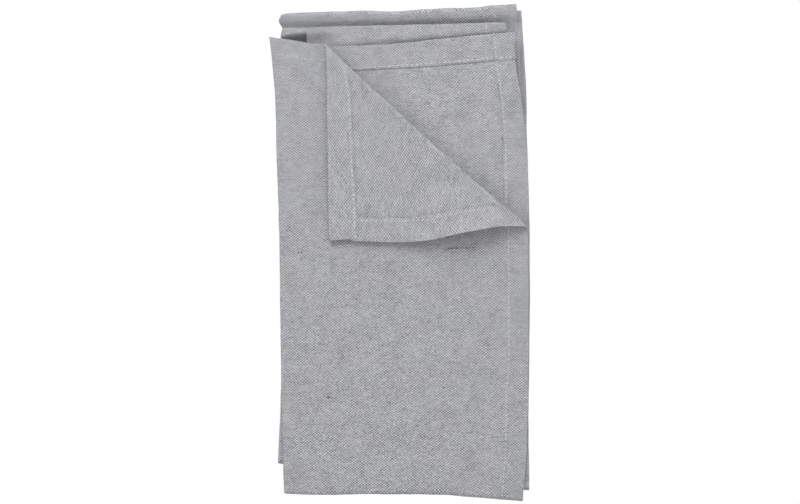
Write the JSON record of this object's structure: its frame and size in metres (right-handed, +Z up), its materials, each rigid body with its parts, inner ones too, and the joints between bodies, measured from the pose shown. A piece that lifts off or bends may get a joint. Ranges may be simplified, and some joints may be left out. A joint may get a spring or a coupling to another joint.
{
  "type": "folded table runner",
  "caption": "Hemmed cloth table runner folded lengthwise and twice across into a flat pack, one top corner turned down.",
  "frame": {"origin": "centre of the folded pack's outline, on the plane that its underside rests on", "axes": "+Y along the pack towards the hemmed end of its top panel, +Z up from the underside, +X towards the side hems"},
  "size_m": [0.2098, 0.4014, 0.0272],
  "materials": {
    "linen_cloth": "grey melange linen and cotton in a 2/2 basket weave, matt, with fine darker slubs"
  },
  "bodies": {
    "root": {"table_runner": "linen_cloth"}
  },
  "joints": []
}
